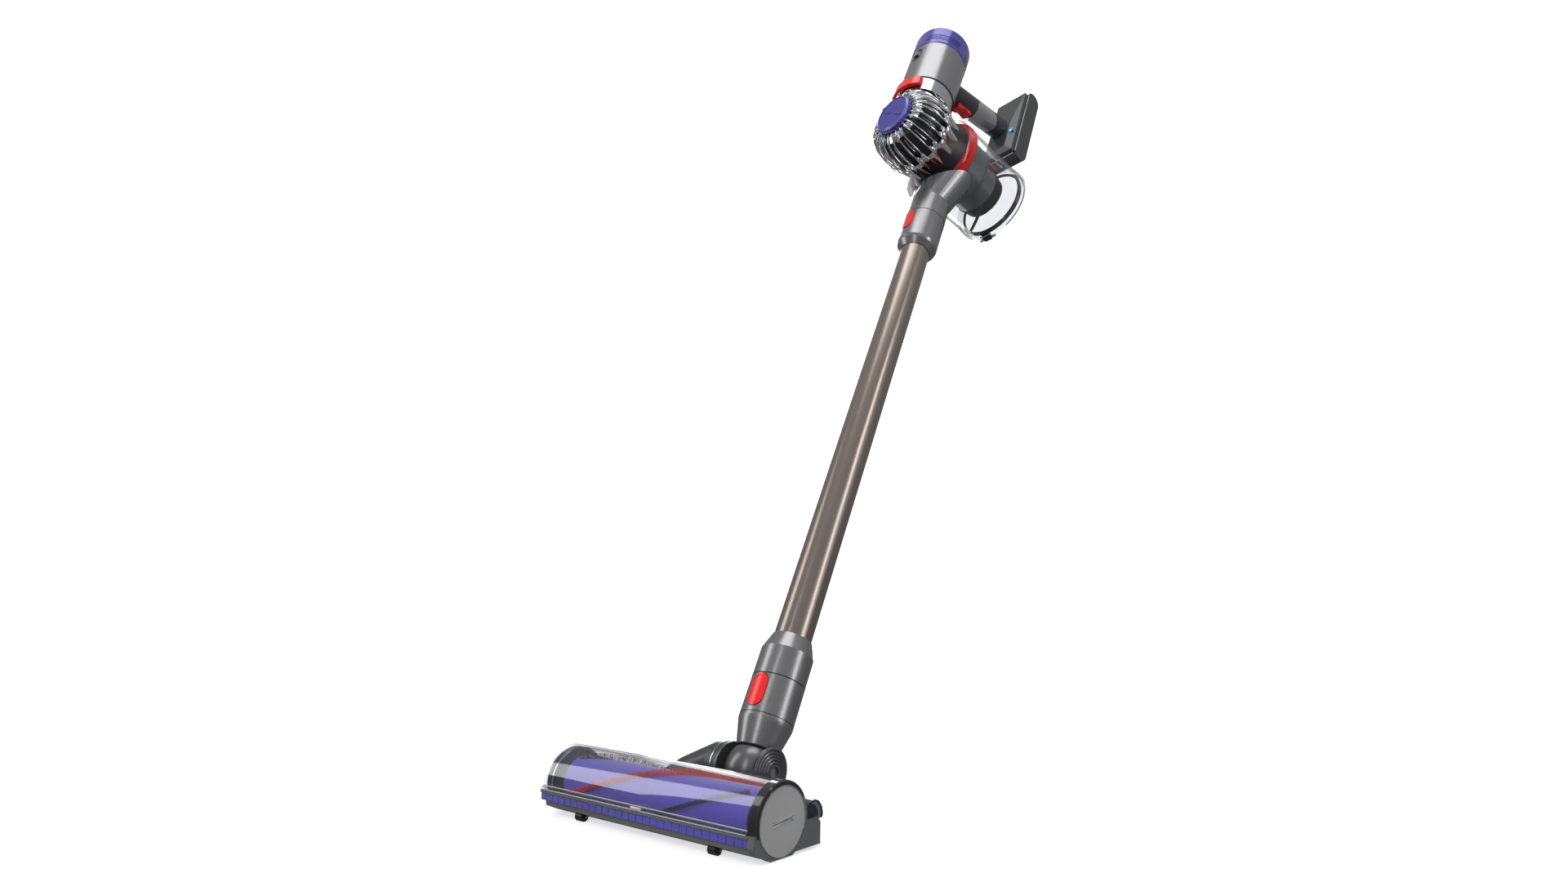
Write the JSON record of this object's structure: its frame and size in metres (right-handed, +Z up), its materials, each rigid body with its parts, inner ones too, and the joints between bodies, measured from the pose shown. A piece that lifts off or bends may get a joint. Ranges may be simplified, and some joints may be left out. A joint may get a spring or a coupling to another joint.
{
  "type": "cordless stick vacuum",
  "caption": "Cordless stick vacuum: floor head with a driven brush bar, tilting neck, metal wand, and hand-held unit with cyclones, clear bin, motor, handle and battery.",
  "frame": {"origin": "on the floor, at the head's mid width, under the brush bar axis", "axes": "+X towards the head's right end with the coin-slot cap, -Y the front of the head, +Y the user's side, +Z up"},
  "size_m": [0.249, 0.7475, 0.9712],
  "materials": {
    "grey_metallic": "satin metallic grey",
    "mid_grey": "satin",
    "dark_grey": "satin",
    "black_plastic": "satin",
    "black_rubber": "matte",
    "violet": "gloss",
    "violet_fabric": "soft woven fabric",
    "red_gloss": "gloss",
    "red_fibre": "nylon bristle",
    "clear": "clear polycarbonate",
    "smoked": "tinted clear plastic",
    "light_lens": "clear lens",
    "chromed": "chrome plated plastic",
    "wand_metal": "satin champagne anodised",
    "steel": "plain",
    "filter_felt": "felt"
  },
  "bodies": {
    "handheld": {"inlet_duct": "grey_metallic", "bin_shell": "clear", "door_hinge": "black_plastic", "door_hinge_pin": "steel", "shroud": "grey_metallic", "shroud_skirt": "black_rubber", "cyclone_pack": "chromed", "cyclone_collar": "red_gloss", "motor_bucket": "chromed", "motor_housing": "grey_metallic", "motor": "dark_grey", "handle": "dark_grey", "battery_dock": "dark_grey", "battery_pack": "dark_grey", "charge_light": "light_lens"},
    "bin_door": {"bin_door": "clear", "bin_seal": "black_rubber"},
    "release_rod": {"release_rod": "red_gloss"},
    "release_tab": {"release_tab": "red_gloss"},
    "prefilter": {"prefilter_cap": "violet", "prefilter": "filter_felt"},
    "filter_cap": {"filter_cap": "violet", "postfilter": "filter_felt"},
    "impeller": {"impeller": "wand_metal"},
    "power_slider": {"power_slider": "chromed"},
    "trigger": {"trigger": "red_gloss"},
    "wand": {"wand_lower_collar": "grey_metallic", "wand_tube": "wand_metal", "wand_wires": "black_plastic", "wand_upper_collar": "grey_metallic", "wand_button_spring": "steel"},
    "wand_button": {"wand_button": "red_gloss"},
    "neck": {"neck": "grey_metallic", "neck_cuff": "grey_metallic", "head_button_spring": "steel"},
    "head_button": {"head_button": "red_gloss"},
    "elbow": {"elbow": "grey_metallic"},
    "floor_head": {"sole_plate": "mid_grey", "soft_strip": "violet", "bumper": "mid_grey", "clear_cover": "clear", "left_end_plate": "mid_grey", "right_end_plate": "mid_grey", "rear_housing": "mid_grey", "rear_window": "smoked", "axles": "steel", "brush_motor": "dark_grey", "pivot_duct": "dark_grey", "pivot_bracket": "dark_grey", "pivot_cap": "mid_grey", "pivot_pin": "steel", "screws": "steel", "brush_bearing": "steel"},
    "end_cap": {"end_cap": "mid_grey"},
    "front_rollers": {"front_rollers": "black_plastic"},
    "rear_wheels": {"rear_wheels": "black_plastic"},
    "brush_bar": {"brush_core": "violet_fabric", "red_bristles": "red_fibre", "black_bristles": "black_plastic", "drive_dog": "wand_metal"}
  },
  "joints": [
    {"name": "wand_pull", "type": "slide", "parent": "handheld", "child": "wand", "axis": [0.0491, -0.4741, -0.8791], "range_m": [0, 0.03]},
    {"name": "head_pull", "type": "slide", "parent": "wand", "child": "neck", "axis": [0.0491, -0.4741, -0.8791], "range_m": [0, 0.03]},
    {"name": "neck_turn", "type": "hinge", "parent": "neck", "child": "elbow", "pos_m": [0.0015, 0.0974, 0.034], "axis": [-0.0491, 0.4741, 0.8791], "range_deg": [-45, 45]},
    {"name": "neck_tilt", "type": "hinge", "parent": "elbow", "child": "floor_head", "pos_m": [0.0015, 0.0974, 0.034], "axis": [1, 0, 0], "range_deg": [-28, 55]},
    {"name": "brush_spin", "type": "hinge", "parent": "floor_head", "child": "brush_bar", "pos_m": [0, 0, 0.0263], "axis": [1, 0, 0], "continuous": true},
    {"name": "end_cap_unlock", "type": "hinge", "parent": "floor_head", "child": "end_cap", "pos_m": [0, 0, 0.0263], "axis": [1, 0, 0], "range_deg": [0, 60]},
    {"name": "front_rollers_spin", "type": "hinge", "parent": "floor_head", "child": "front_rollers", "pos_m": [0, -0.0215, 0.004], "axis": [1, 0, 0], "continuous": true},
    {"name": "rear_wheels_spin", "type": "hinge", "parent": "floor_head", "child": "rear_wheels", "pos_m": [0, 0.034, 0.0065], "axis": [1, 0, 0], "continuous": true},
    {"name": "head_button_press", "type": "slide", "parent": "neck", "child": "head_button", "axis": [-0.0258, 0.8793, -0.4756], "range_m": [0, 0.0018], "stiffness_N_per_m": 800, "springref_m": -0.001},
    {"name": "wand_button_press", "type": "slide", "parent": "wand", "child": "wand_button", "axis": [0.2504, 0.8579, -0.4487], "range_m": [0, 0.0018], "stiffness_N_per_m": 800, "springref_m": -0.001},
    {"name": "bin_door_open", "type": "hinge", "parent": "handheld", "child": "bin_door", "pos_m": [-0.01656, 0.57227, 0.67758], "axis": [-0.982, 0.1377, -0.1292], "range_deg": [0, 95]},
    {"name": "release_tab_pull", "type": "slide", "parent": "handheld", "child": "release_tab", "axis": [-0.0491, 0.4741, 0.8791], "range_m": [0, 0.008], "stiffness_N_per_m": 60, "springref_m": -0.01},
    {"name": "release_rod_slide", "type": "slide", "parent": "handheld", "child": "release_rod", "axis": [-0.1728, -0.9313, 0.3205], "range_m": [0, 0.004]},
    {"name": "prefilter_pull", "type": "slide", "parent": "handheld", "child": "prefilter", "axis": [-0.1728, -0.9313, 0.3205], "range_m": [0, 0.1]},
    {"name": "filter_cap_twist", "type": "hinge", "parent": "handheld", "child": "filter_cap", "pos_m": [-0.05768, 0.50663, 0.92022], "axis": [-0.0491, 0.4741, 0.8791], "range_deg": [0, 30]},
    {"name": "impeller_spin", "type": "hinge", "parent": "handheld", "child": "impeller", "pos_m": [-0.05493, 0.48008, 0.87099], "axis": [-0.0491, 0.4741, 0.8791], "continuous": true},
    {"name": "power_slide", "type": "slide", "parent": "handheld", "child": "power_slider", "axis": [-0.0491, 0.4741, 0.8791], "range_m": [-0.004, 0.002]},
    {"name": "trigger_press", "type": "slide", "parent": "handheld", "child": "trigger", "axis": [-0.1085, 0.1481, 0.983], "range_m": [0, 0.004], "stiffness_N_per_m": 500, "springref_m": -0.001}
  ],
  "couplings": [
    {"joint": "release_rod_slide", "follows": "release_tab_pull", "ratio": 0.5}
  ]
}
